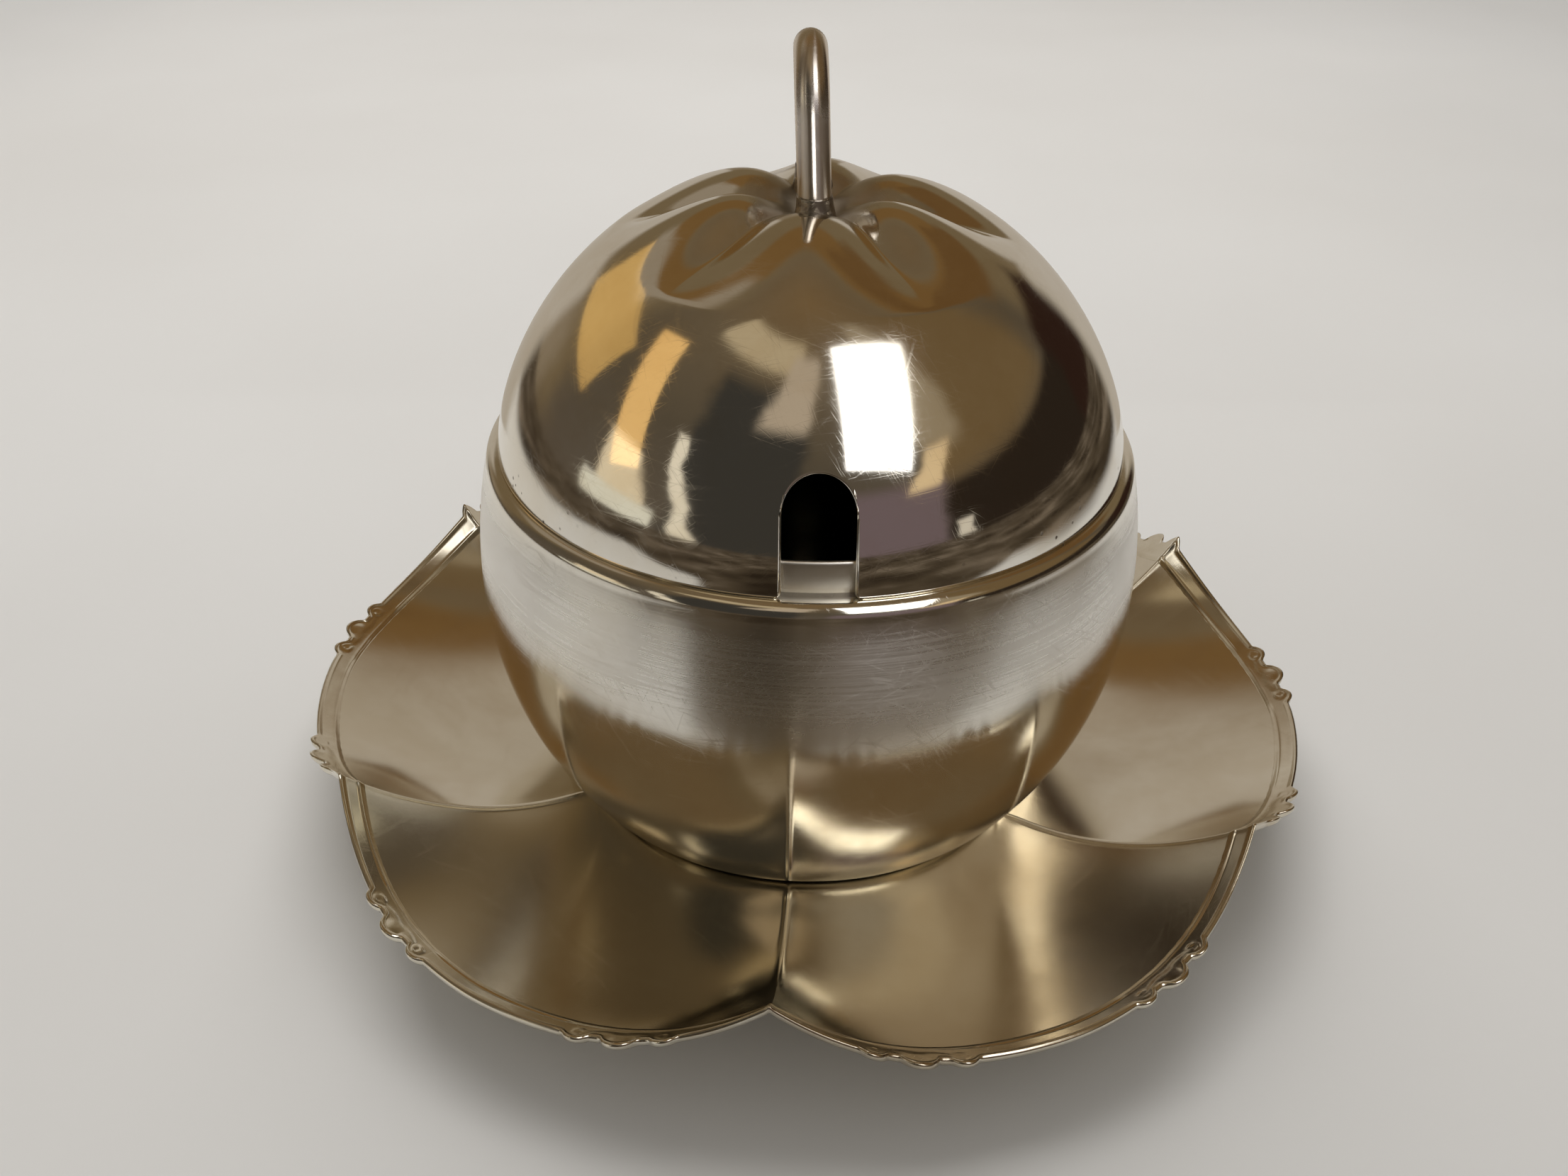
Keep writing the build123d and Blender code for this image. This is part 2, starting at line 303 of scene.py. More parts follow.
def solder_material():
    """Dull grey solder with darker spots."""
    material, nodes = new_material("solder_dark")
    place = nodes.add("ShaderNodeTexCoord").outputs["Object"]
    cloud = nodes.noise(place, 700.0, 4.0, 0.6, 0.4)
    colour = nodes.colours(cloud, (0.3, (0.16, 0.13, 0.11)), (0.55, (0.38, 0.34, 0.29)),
                           (0.75, (0.66, 0.62, 0.56)))
    finish = nodes.ramp(cloud, 0.35, 0.7, 0.45, 0.24)
    bump = nodes.add("ShaderNodeBump", {"Height": cloud, "Strength": 0.6, "Distance": 0.0003})
    shader = nodes.add("ShaderNodeBsdfPrincipled", {"Base Color": colour, "Metallic": 1.0,
                                                    "Roughness": finish, "Normal": bump.outputs[0]})
    nodes.add("ShaderNodeOutputMaterial", {"Surface": shader.outputs[0]})
    return material


def glass_material():
    """Clear pressed glass with a faint ripple and a few smears."""
    material, nodes = new_material("liner_glass")
    place = nodes.add("ShaderNodeTexCoord").outputs["Object"]
    ripple = nodes.noise(place, 120.0, 2.0, 0.5)
    smear = nodes.ramp(nodes.noise(place, 60.0, 3.0, 0.6), 0.4, 0.7, 0.01, 0.08)
    bump = nodes.add("ShaderNodeBump", {"Height": ripple, "Strength": 0.15, "Distance": 0.0004})
    shader = nodes.add("ShaderNodeBsdfPrincipled", {"Base Color": (0.93, 0.97, 0.95, 1), "Roughness": smear,
                                                    "IOR": 1.5, "Transmission Weight": 1.0,
                                                    "Normal": bump.outputs[0]})
    nodes.add("ShaderNodeOutputMaterial", {"Surface": shader.outputs[0]})
    return material


def floor_material():
    """Plain pale floor, a little cloudy."""
    material, nodes = new_material("floor")
    place = nodes.add("ShaderNodeTexCoord").outputs["Object"]
    cloud = nodes.noise(place, 5.0, 3.0, 0.5)
    colour = nodes.colours(cloud, (0.3, (0.73, 0.72, 0.70)), (0.7, (0.78, 0.775, 0.76)))
    grain = nodes.noise(place, 900.0, 2.0, 0.5)
    bump = nodes.add("ShaderNodeBump", {"Height": grain, "Strength": 0.05, "Distance": 0.0002})
    shader = nodes.add("ShaderNodeBsdfPrincipled", {"Base Color": colour, "Roughness": 0.55,
                                                    "Specular IOR Level": 0.3, "Normal": bump.outputs[0]})
    nodes.add("ShaderNodeOutputMaterial", {"Surface": shader.outputs[0]})
    return material


# ---------------------------------------------------------------- mesh helpers

def add_piece(name, points, faces, material, body, node):
    """Makes a smooth-shaded mesh piece that stands for a CAD node."""
    mesh = bpy.data.meshes.new(name)
    mesh.from_pydata([tuple(p) for p in points], [], faces)
    mesh.polygons.foreach_set("use_smooth", [True] * len(mesh.polygons))
    mesh.materials.append(material)
    mesh.update()
    piece = bpy.data.objects.new(name, mesh)
    bpy.context.scene.collection.objects.link(piece)
    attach(piece, body)
    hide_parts(node)
    return piece


def ring_faces(rows, columns, closed_rows=False, offset=0):
    """Faces of a grid whose columns go all the way round. closed_rows joins the last row to the first."""
    faces = []
    for row in range(rows if closed_rows else rows - 1):
        below = (row + 1) % rows
        for column in range(columns):
            beside = (column + 1) % columns
            faces.append((offset + row * columns + column, offset + below * columns + column,
                          offset + below * columns + beside, offset + row * columns + beside))
    return faces


def lathe(profile, columns=360):
    """Points and faces of a closed (radius, height) profile turned round Z, with fans at the axis."""
    angles = np.radians(np.arange(columns) * 360 / columns)
    points, faces, rings = [], [], []
    for radius, height in profile:
        rings.append(len(points))
        if radius < 1e-7:
            points.append((0, 0, height))
        else:
            points.extend((radius * cos(a), radius * sin(a), height) for a in angles)
    for index, (radius, height) in enumerate(profile):
        following = (index + 1) % len(profile)
        here, there = rings[index], rings[following]
        for column in range(columns):
            beside = (column + 1) % columns
            if radius < 1e-7 and profile[following][0] < 1e-7:
                continue
            if radius < 1e-7:
                faces.append((here, there + column, there + beside))
            elif profile[following][0] < 1e-7:
                faces.append((here + beside, here + column, there))
            else:
                faces.append((here + column, there + column, there + beside, here + beside))
    return points, faces


def arc(centre, radius, start, end, steps):
    """Points of a round corner, angles in degrees from the outward direction, anticlockwise."""
    turns = [radians(start + (end - start) * i / steps) for i in range(steps + 1)]
    return [(centre[0] + radius * cos(turn), centre[1] + radius * sin(turn)) for turn in turns]


def polar(reach, azimuths, heights):
    """Points at distances and azimuths, in degrees, round Z."""
    turns = np.radians(azimuths)
    return list(zip(reach * np.cos(turns), reach * np.sin(turns), heights))


def flat_grid(low, high, steps):
    """Points and faces of a flat sheet between two opposite corners. Its rows run along X."""
    low, high = Vector(low), Vector(high)
    size = high - low
    shares = [step / steps for step in range(steps + 1)]
    points = [low + Vector((size.x * across, size.y * up, size.z * up))
              for up in shares for across in shares]
    row = steps + 1
    faces = [(r * row + c, r * row + c + 1, (r + 1) * row + c + 1, (r + 1) * row + c)
             for r in range(steps) for c in range(steps)]
    return points, faces


# ---------------------------------------------------------------- lid

def dome_height(reach):
    """Height of the lobes' crests above the lid's rim."""
    share = np.minimum(reach / lid_r, 1)
    dome = lid_height * (1 - share ** dome_power) ** dome_flat
    return dome - well_depth * np.exp(-((reach / well_r) ** 2))


def lobe_list():
    """(middle, half width) of each lobe, in degrees."""
    narrow = (360 - front_lobe_angle) / other_lobes
    lobes = [(lobe_turn, front_lobe_angle / 2)]
    for lobe in range(other_lobes):
        lobes.append((lobe_turn + front_lobe_angle / 2 + (lobe + 0.5) * narrow, narrow / 2))
    return lobes


def crown_height(reach, azimuth):
    """Height of the lid's upper side above the rim."""
    across = np.zeros_like(azimuth)
    for middle, half in lobe_list():
        away = (azimuth - middle + 180) % 360 - 180
        inside = np.abs(away) <= half
        across = np.where(inside, np.abs(np.sin(np.radians(away)) / sin(radians(half))), across)
    soft = 0.035
    across = 1 + soft - np.sqrt((1 - across) ** 2 + soft ** 2)
    fade = np.sin(pi * np.clip((reach - crease_in_r) / (crease_out_r - crease_in_r), 0, 1))
    return dome_height(reach) - crease_depth * fade * across ** 2


def dome_reach(slope):
    """Distance from the axis for the dome's parameter slope, 0 at the top and pi/2 at the rim."""
    return lid_r * np.sin(slope) ** (2 / dome_power)


def slope_at(height):
    """The dome's parameter where its surface is at this height above the rim."""
    return np.arccos(np.clip(height / lid_height, 0, 1) ** (1 / (2 * dome_flat)))


def lid_columns():
    """Azimuths from the notch's right side round to its left side, close together at each crease."""
    spring_turn = np.degrees(asin(notch_half / dome_reach(slope_at(notch_spring))))
    first, last = notch_turn + spring_turn, notch_turn + 360 - spring_turn
    corner = [0.0, 0.25, 0.5, 0.8, 1.2]
    columns = [first + step for step in corner]
    creases = sorted((middle + half - first) % 360 + first for middle, half in lobe_list())
    stops = [first + 1.7] + creases + [last - 1.7]
    for start, end in zip(stops, stops[1:]):
        share = np.arange(max(8, round((end - start) / 1.05))) / max(8, round((end - start) / 1.05))
        if start == stops[0]:
            share = (np.sin(share * pi / 2) + share) / 2
        elif end == stops[-1]:
            share = 1 - (np.sin((1 - share) * pi / 2) + 1 - share) / 2
        else:
            share = (1 - np.cos(share * pi)) / 2
        columns.extend(start + (end - start) * share)
    columns += [last - 1.7] + [last - step for step in corner[::-1]]
    return np.array(columns), spring_turn


def round_corners(points):
    """Rounds the two lower corners of the lid beside the notch. Heights are from the rim."""
    radius = 0.9 * MM
    beside = np.abs(points[:, 0]) - notch_half
    near = (beside < radius) & (beside > -0.01 * MM) & (points[:, 2] < radius) & (points[:, 1] < 0)
    across = beside[near] / radius - 1
    up = points[near, 2] / radius - 1
    new_across = across * np.sqrt(1 - up ** 2 / 2)
    new_up = up * np.sqrt(1 - across ** 2 / 2)
    heights = radius * (1 + new_up)
    x = np.sign(points[near, 0]) * (notch_half + radius * (1 + new_across))
    reach = dome_reach(slope_at(heights))
    points[near] = np.stack([x, -np.sqrt(reach ** 2 - x ** 2), heights], axis=1)


def lid_sheet_grid():
    """The lid's outer surface with its notch: points, faces and the loop of its edge."""
    side_columns, spring_turn = lid_columns()
    arch = np.radians(np.linspace(-90, 90, 25))[1:-1]
    arch_x = notch_half * np.sin(arch)
    arch_slope = slope_at(notch_spring + notch_half * np.cos(arch))
    arch_columns = notch_turn + np.degrees(np.arcsin(arch_x / dome_reach(arch_slope)))
    spring_slope = slope_at(notch_spring)
    upper = np.linspace(0.03, radians(48), 62)
    middle_share = np.linspace(0, 1, 20)[1:]
    lower = np.linspace(spring_slope, pi / 2, 26)[1:]
    azimuths = np.concatenate([side_columns, arch_columns])
    bottoms = np.concatenate([np.full(len(side_columns), spring_slope), arch_slope])
    rows = [np.full(len(azimuths), slope) for slope in upper]
    rows += [upper[-1] + (bottoms - upper[-1]) * share for share in middle_share]
    points = [(0, 0, crown_height(np.array([0.0]), np.array([0.0]))[0])]
    for slopes in rows:
        reach = dome_reach(slopes)
        points.extend(polar(reach, azimuths, crown_height(reach, azimuths)))
    count, sides = len(azimuths), len(side_columns)
    faces = [(0, 1 + column, 1 + (column + 1) % count) for column in range(count)]
    faces += ring_faces(len(rows), count, offset=1)
    row_starts = [1 + (len(rows) - 1) * count]
    for slope in lower:
        reach = float(dome_reach(slope))
        shift = spring_turn - np.degrees(asin(notch_half / reach))
        near_right = np.clip(1 - (side_columns - side_columns[0]) / 14, 0, 1)
        near_left = np.clip(1 - (side_columns[-1] - side_columns) / 14, 0, 1)
        turned = side_columns - shift * near_right ** 2 + shift * near_left ** 2
        row_starts.append(len(points))
        points.extend(polar(reach, turned, crown_height(np.full(sides, reach), turned)))
    for above, below in zip(row_starts, row_starts[1:]):
        for column in range(sides - 1):
            faces.append((above + column, below + column, below + column + 1, above + column + 1))
    edge = [row_starts[-1] + column for column in range(sides)]
    edge += [start + sides - 1 for start in row_starts[-2::-1]]
    edge += [row_starts[0] + sides + column for column in range(len(arch))]
    edge += [start for start in row_starts[:-1]]
    points = np.array(points)
    round_corners(points)
    return points, faces, edge


def point_normals(points, faces):
    """Unit normals from the faces around each point."""
    normals = np.zeros_like(points)
    for size in (3, 4):
        corners = np.array([f for f in faces if len(f) == size])
        if len(corners) == 0:
            continue
        here = [points[corners[:, corner]] for corner in range(size)]
        if size == 3:
            across = np.cross(here[1] - here[0], here[2] - here[1])
        else:
            across = np.cross(here[2] - here[0], here[3] - here[1])
        for corner in range(size):
            np.add.at(normals, corners[:, corner], across)
    return normals / np.linalg.norm(normals, axis=1)[:, None]


def thicken(points, faces, edge, sheet, round_r):
    """Closed sheet-metal shell under a surface, with its edge loop rounded over."""
    normals = point_normals(points, faces)
    edge_points, edge_normals = points[edge], normals[edge]
    tangents = np.roll(edge_points, -1, axis=0) - np.roll(edge_points, 1, axis=0)
    tangents /= np.linalg.norm(tangents, axis=1)[:, None]
    inward = np.cross(edge_normals, tangents)
    inward /= np.linalg.norm(inward, axis=1)[:, None]
    middle = edge_points.mean(axis=0) + np.array([0, 0, lid_r])
    if np.mean(np.sum(inward * (middle - edge_points), axis=1)) < 0:
        inward = -inward
    under = points - normals * sheet
    top = points.copy()
    top[edge] = edge_points + inward * round_r
    under[edge] = edge_points + inward * round_r - edge_normals * sheet
    loops = []
    for depth, back in ((0.29, 0.29), (1.0, 0.0)):
        loops.append(edge_points + inward * back * round_r - edge_normals * depth * round_r)
    for depth, back in ((1.0, 0.0), (0.29, 0.29)):
        loops.append(edge_points + inward * back * round_r - edge_normals * (sheet - depth * round_r))
    count, size = len(points), len(edge)
    everything = np.vstack([top, under, *loops])
    all_faces = list(faces) + [tuple(count + i for i in face[::-1]) for face in faces]
    chain = [list(edge)] + [[2 * count + k * size + i for i in range(size)] for k in range(len(loops))]
    chain.append([count + i for i in edge])
    for above, below in zip(chain, chain[1:]):
        for i in range(size):
            j = (i + 1) % size
            all_faces.append((above[i], below[i], below[j], above[j]))
    return everything, all_faces


def make_lid(material):
    """Sheet-metal lid with its lobes and its notch."""
    points, faces, edge = lid_sheet_grid()
    points[:, 2] += lid_rim_z
    points, faces = thicken(points, faces, edge, lid_sheet, 0.22 * MM)
    return add_piece("lid_dome", points, faces, material, "lid", "lid")


# ---------------------------------------------------------------- pot, collar, liner and foot

def pot_radius(height):
    """Outer radius of the pot's wall: two ellipse arcs that meet at the belly."""
    span = 50.2 * MM if height < belly_z else 57 * MM
    return belly_r * sqrt(1 - ((belly_z - height) / span) ** 2)


def make_pot(material):
    """Spun pot, open at the mouth, with a rounded heel and shoulder."""
    heel_z, neck_z = seat_z + 2.3 * MM, shoulder_z - 1.8 * MM
    base_r = 32 * MM
    wall = [(pot_radius(z), z) for z in np.linspace(heel_z, neck_z, 90)]
    heel = [(base_r + (wall[0][0] - base_r) * t, seat_z + (heel_z - seat_z) * t ** 2.2)
            for t in np.linspace(0, 1, 9)[:-1]]
    turn = arc((wall[-1][0] - 1.8 * MM, neck_z), 1.8 * MM, 0, 90, 8)[1:]
    outside = [(0, seat_z)] + heel + wall + turn + [(mouth_r + 0.1 * MM, shoulder_z)]
    inside = [(mouth_r + 0.1 * MM, shoulder_z - pot_sheet)]
    inside += [(r - pot_sheet, z - 0.4 * MM) for r, z in wall[::-4]]
    inside += [(base_r - MM, seat_z + pot_sheet), (0, seat_z + pot_sheet)]
    points, faces = lathe(outside + inside)
    return add_piece("pot_shell", points, faces, material, "pot", "pot_body")


def make_collar(material):
    """Upright strip in the mouth, with a rounded top edge."""
    foot_z, top_z = collar_low.z, collar_high.z
    corner = collar_sheet / 2
    profile = [(mouth_r - collar_sheet, foot_z), (mouth_r, foot_z)]
    profile += [(mouth_r, foot_z + (top_z - corner - foot_z) * t) for t in np.linspace(0.2, 0.9, 4)]
    profile += arc((mouth_r - corner, top_z - corner), corner, 0, 180, 8)
    points, faces = lathe(profile)
    return add_piece("collar_band", points, faces, material, "pot", "collar")


def make_liner(material):
    """Glass cup with a thick bottom and a rounded lip."""
    floor_z, top_z = liner_low.z, liner_high.z
    foot_r = 30.5 * MM
    lip = liner_wall / 2
    outside = [(0, floor_z + 0.6 * MM), (foot_r - 4 * MM, floor_z + 0.6 * MM), (foot_r - 3 * MM, floor_z)]
    outside += arc((foot_r - MM, floor_z + MM), MM, -90, -10, 4)
    side_low = floor_z + MM
    for t in np.linspace(0, 1, 24)[1:]:
        radius = foot_r + (liner_top_r - foot_r) * sin(t * pi / 2) ** 0.8
        outside.append((radius, side_low + (top_z - lip - side_low) * t))
    outside += arc((liner_top_r - lip, top_z - lip), lip, 0, 180, 10)[1:]
    inner = [(r - liner_wall, max(z, floor_z + 4 * MM)) for r, z in outside[-12:6:-1]]
    inner += [(foot_r - 6 * MM, floor_z + 3 * MM), (0, floor_z + 3 * MM)]
    points, faces = lathe(outside + inner, 180)
    return add_piece("liner_cup", points, faces, material, "pot", "glass_liner")


def make_foot(material):
    """Wire foot ring, round below and spread where it meets the dish."""
    middle = (foot_outer_r + foot_inner_r) / 2
    half = (foot_outer_r - foot_inner_r) / 2
    top_z = foot_high.z + 0.2 * MM
    profile = arc((middle, table_z + half), half, 180, 360, 12)
    profile += [(foot_outer_r, top_z - 0.6 * MM), (foot_outer_r + 0.5 * MM, top_z),
                (foot_inner_r - 0.5 * MM, top_z), (foot_inner_r, top_z - 0.6 * MM)]
    points, faces = lathe(profile)
    return add_piece("foot_wire", points, faces, material, "pot", "foot_ring")


# ---------------------------------------------------------------- dish and border

def petal_across(azimuth):
    """-1 and 1 on the ridges beside a petal and 0 in its middle, and the angle from its middle."""
    pitch = 360 / petals
    away = (azimuth + 90 - pattern_turn) % pitch - pitch / 2
    return np.tan(np.radians(away)) / tan(radians(pitch / 2)), np.radians(away)


def dish_height(reach, azimuth):
    """Upper side of the petals: each is hollow and rises to its edge, with a crested ridge between."""
    across, away = petal_across(azimuth)
    soft = 0.006
    across = 1 + soft - np.sqrt((1 - np.abs(across)) ** 2 + soft ** 2)
    half = radians(180 / petals)
    near = ridge_start_r * cos(half)
    out = np.maximum(reach * np.cos(away) - near, 0)
    ridge = ridge_rise * (out / ((ridge_end_r + border_width) * cos(half) - near)) ** 2
    petal = petal_rise * (out / (petal_end_r + border_width - near)) ** 2
    steepness = round_share * across ** 2 + (1 - round_share) * across ** 4
    beside = reach * (radians(180 / petals) - np.abs(away))
    crest = 0.24 * MM * np.exp(-((beside / (0.34 * MM)) ** 2)) * np.clip((reach - 34 * MM) / (3 * MM), 0, 1)
    return dish_floor_z + petal + (ridge - petal) * steepness + crest


def edge_reach(azimuth):
    """Distance of the dish's own edge from the axis."""
    across = np.abs(petal_across(azimuth)[1]) / radians(180 / petals)
    return ridge_end_r + (petal_end_r - ridge_end_r) * (1 - across ** edge_power)


def petal_columns(steps):
    """Azimuths round the dish, close together at each ridge."""
    pitch = 360 / petals
    fine = np.array([0.002, 0.005, 0.009, 0.014, 0.021, 0.031])
    across = np.concatenate([[-1], fine - 1, np.linspace(-0.955, 0.955, steps), 1 - fine[::-1]])
    away = np.degrees(np.arctan(across * tan(radians(pitch / 2))))
    return np.concatenate([-90 + pattern_turn + (petal + 0.5) * pitch + away for petal in range(petals)])


def make_dish(material):
    """Pressed sheet with six petals and the raised disc under the pot."""
    azimuths = petal_columns(34)
    count = len(azimuths)
    edge = edge_reach(azimuths) + 0.3 * MM
    disc = ((8 * MM, seat_z), (seat_disc_r - 0.3 * MM, seat_z), (seat_disc_r, seat_z - 0.1 * MM),
            (seat_disc_r + 0.1 * MM, dish_floor_z))
    rows = [(np.full(count, reach), np.full(count, height)) for reach, height in disc]
    start = seat_disc_r + 0.5 * MM
    for share in np.linspace(0, 1, 60):
        reach = start + (edge - start) * share
        rows.append((reach, dish_height(reach, azimuths)))
    for share in np.linspace(1, 0, 32):
        reach = start + (edge - start) * share
        rows.append((reach, dish_height(reach, azimuths) - dish_sheet))
    rows.append((np.full(count, 8 * MM), np.full(count, dish_floor_z - dish_sheet)))
    points = [(0, 0, seat_z)]
    for reach, height in rows:
        points.extend(polar(reach, azimuths, height))
    points.append((0, 0, dish_floor_z - dish_sheet))
    faces = [(0, 1 + c, 1 + (c + 1) % count) for c in range(count)]
    faces += ring_faces(len(rows), count, offset=1)
    last, end = 1 + (len(rows) - 1) * count, len(points) - 1
    faces += [(last + (c + 1) % count, last + c, end) for c in range(count)]
    return add_piece("dish_petals", points, faces, material, "pot", "petal_dish")


def scroll_relief(along, out):
    """Raised scrolls of one group: a ring at each side and a leaf between them. In metres."""
    relief = np.zeros_like(along)
    for side in (-1, 1):
        away = np.hypot(along - side * 5.0 * MM, out - 1.7 * MM) / MM
        relief += 0.10 * np.exp(-((away - 0.6) / 0.2) ** 2) + 0.07 * np.exp(-((away / 0.25) ** 2))
    for side in (-1, 1):
        lean = (out - 1.2 * MM) - side * along * 0.12
        away = np.hypot((along - side * 2.3 * MM) / (2.0 * MM), lean / (0.7 * MM))
        relief += 0.08 * np.exp(-(away ** 4))
    away = np.hypot(along / (1.1 * MM), (out - 2.1 * MM) / (1.0 * MM))
    relief += 0.09 * np.exp(-(away ** 4))
    return relief * MM


def make_border(material):
    """Cast border along the dish's edge: two fine beads with a channel, and groups of scrolls."""
    azimuths = np.sort(np.concatenate([petal_columns(34), np.arange(0, 360, 0.3) - 90.05]) % 360)
    azimuths = azimuths[np.concatenate([[True], np.diff(azimuths) > 0.03])]
    edge = edge_reach(azimuths)
    pitch = 360 / ruffles
    away = (azimuths - 90 - pattern_turn + pitch / 2) % pitch - pitch / 2
    along = np.radians(away) * (edge + border_width)
    width = np.full(len(azimuths), border_width)
    for shift, lobe_r in ((-4.2, 1.9 * MM), (0, 2.4 * MM), (4.2, 1.9 * MM)):
        beside = along - radians(shift) * (edge + border_width)
        bulge = border_width - MM + np.sqrt(np.maximum(lobe_r ** 2 - beside ** 2, 0))
        width = np.maximum(width, np.where(np.abs(beside) < lobe_r, bulge, 0))
    width -= 0.04 * MM
    group = np.clip((8.2 * MM - np.abs(along)) / (1.6 * MM), 0, 1)
    inner = -0.7 * MM
    rows = []
    for share in np.linspace(0, 1, 30):
        out = inner + (width - inner) * share
        from_rim = width - out
        bead_in = 0.16 * MM * np.exp(-((out + 0.1 * MM) / (0.20 * MM)) ** 2) * (1 - 0.6 * group)
        bead_out = 0.26 * MM * np.exp(-((from_rim - 0.36 * MM) / (0.26 * MM)) ** 2)
        body = 0.10 * MM * np.minimum(share * 8, 1) * np.minimum((1 - share) * 12, 1)
        relief = scroll_relief(along, out) * group * np.minimum(from_rim / (0.4 * MM), 1)
        rows.append((edge + out, body + bead_in + bead_out * (1 - 0.35 * group) + relief))
    for share, depth in ((1.0, 0.35), (0.985, 0.7), (0.93, 0.98), (0.7, 1.1), (0.3, 1.08), (0.0, 1.0)):
        out = inner + (width - inner) * share
        rows.append((edge + out, np.full(len(azimuths), -depth * MM)))
    points = []
    for reach, lift in rows:
        points.extend(polar(reach, azimuths, dish_height(reach, azimuths) + lift))
    faces = ring_faces(len(rows), len(azimuths), closed_rows=True)
    return add_piece("dish_rim", points, faces, material, "pot", "dish_border")


# ---------------------------------------------------------------- handle and solder

def handle_point(across, up):
    """Point of the handle's leaning plane: across along Y, up along the legs."""
    return np.array([-sin(handle_lean) * up, across, handle_foot_z + cos(handle_lean) * up])


def make_handle(material):
    """Bent wire loop, swept round its centre line."""
    top = (handle_high.z - wire_r - handle_foot_z) / cos(handle_lean)
    straight = top - handle_half_span
    foot = 4.6 * MM
    path = [(-handle_half_span, foot + (straight - foot) * t) for t in np.linspace(0, 1, 14)[:-1]]
    path += [(-handle_half_span * cos(t), straight + handle_half_span * sin(t))
             for t in np.linspace(0, pi, 40)]
    path += [(handle_half_span, foot + (straight - foot) * t) for t in np.linspace(1, 0, 14)[1:]]
    centres = np.array([handle_point(across, up) for across, up in path])
    ahead = np.gradient(centres, axis=0)
    ahead /= np.linalg.norm(ahead, axis=1)[:, None]
    side = np.array([cos(handle_lean), 0, sin(handle_lean)])
    sides = 32
    points = []
    for centre, forward in zip(centres, ahead):
        normal = np.cross(side, forward)
        for k in range(sides):
            turn = 2 * pi * k / sides
            points.append(centre + wire_r * (cos(turn) * side + sin(turn) * normal))
    faces = ring_faces(len(centres), sides)
    faces.append(tuple(range(sides)))
    faces.append(tuple(range(len(points) - 1, len(points) - 1 - sides, -1)))
    return add_piece("handle_loop", points, faces, material, "lid", "handle")


def on_crown(x, y, height):
    """Point at this height, or just under the crown where the crown is higher."""
    surface = crown_height(np.array([np.hypot(x, y)]), np.array([np.degrees(atan2(y, x))]))[0]
    return x, y, max(height, lid_rim_z + surface - 0.35 * MM)


def make_solder(material, side, name, node):
    """Uneven ring of solder round one foot of the handle, down to the crown."""
    steps, sides = 12, 48
    low, high = 3.7 * MM, 7.6 * MM        # along the handle's leg
    rng = np.random.default_rng(5 + side)
    waves = rng.uniform(-1, 1, (5, 2))
    rings = [(step / steps, True) for step in range(steps + 1)] + [(1, False), (0, False)]
    points = []
    for share, outer in rings:
        centre = handle_point(side * handle_half_span, low + (high - low) * share)
        for k in range(sides):
            turn = 2 * pi * k / sides
            wave = sum(a * cos((n + 2) * turn) + b * sin((n + 2) * turn) for n, (a, b) in enumerate(waves))
            spread = 0.75 * (1 - share) ** 1.8 + 0.12 + 0.04 * wave * (1 - share) if outer else -0.1
            radius = wire_r + spread * MM
            x, y = centre[0] + radius * cos(turn), centre[1] + radius * sin(turn)
            points.append(on_crown(x, y, centre[2]))
    faces = ring_faces(len(rings), sides, closed_rows=True)
    return add_piece(name, points, faces, material, "lid", node)


# ---------------------------------------------------------------- floor, light and world

def make_floor(material):
    """Plain floor that runs past the view on every side."""
    points, faces = flat_grid((-2, -2, table_z), (2, 2, table_z), 24)
    mesh = bpy.data.meshes.new("floor")
    mesh.from_pydata(points, [], faces)
    mesh.materials.append(material)
    floor = bpy.data.objects.new("floor", mesh)
    bpy.context.scene.collection.objects.link(floor)


def add_card(name, corners, material):
    """Flat card, between two opposite corners, that only the silver reflects."""
    points, faces = flat_grid(*corners, 12)
    mesh = bpy.data.meshes.new(name)
    mesh.from_pydata(points, [], faces)
    mesh.materials.append(material)
    card = bpy.data.objects.new(name, mesh)
    bpy.context.scene.collection.objects.link(card)
    card.visible_camera = card.visible_diffuse = card.visible_shadow = card.visible_transmission = False


def card_material(material, nodes, cover, colour):
    """Glowing card that is clear where cover is 0."""
    glow = nodes.add("ShaderNodeEmission", {"Color": colour, "Strength": 1.0})
    clear = nodes.add("ShaderNodeBsdfTransparent")
    both = nodes.add("ShaderNodeMixShader", {0: cover, 1: clear.outputs[0], 2: glow.outputs[0]})
    nodes.add("ShaderNodeOutputMaterial", {"Surface": both.outputs[0]})
    return material


def painted_shade_card_material():
    """Painted shade on a card seen only in the silver: dark over the floor in front of the dish and at the
    sides, clear over a pale strip between.
    """
    material, nodes = new_material("painted_shade_card")
    place = nodes.add("ShaderNodeTexCoord").outputs["Object"]
    x, y = nodes.add("ShaderNodeSeparateXYZ", {0: place}).outputs[:2]
    wobble = nodes.wobble(nodes.noise(place, 10.0, 1.0), 0.05)
    beside = nodes.math("ADD", nodes.math("ABSOLUTE", nodes.math("ADD", x, 0.05)), wobble)
    sides = nodes.ramp(beside, 0.20, 0.27)
    front_edge = nodes.ramp(x, -0.12, -0.04, -0.160, -0.086)
    behind_edge = nodes.math("ADD", nodes.math("SUBTRACT", y, front_edge), wobble)
    front = nodes.ramp(behind_edge, -0.012, 0.012, 1.0, 0.0)
    # Colour of the painted shade: dark brown with a few paler patches.
    dark = nodes.colours(nodes.noise(place, 7.0, 3.0), (0.35, (0.022, 0.015, 0.009)),
                         (0.5, (0.065, 0.048, 0.030)), (0.68, (0.19, 0.15, 0.11)))
    return card_material(material, nodes, nodes.math("MAXIMUM", sides, front), dark)


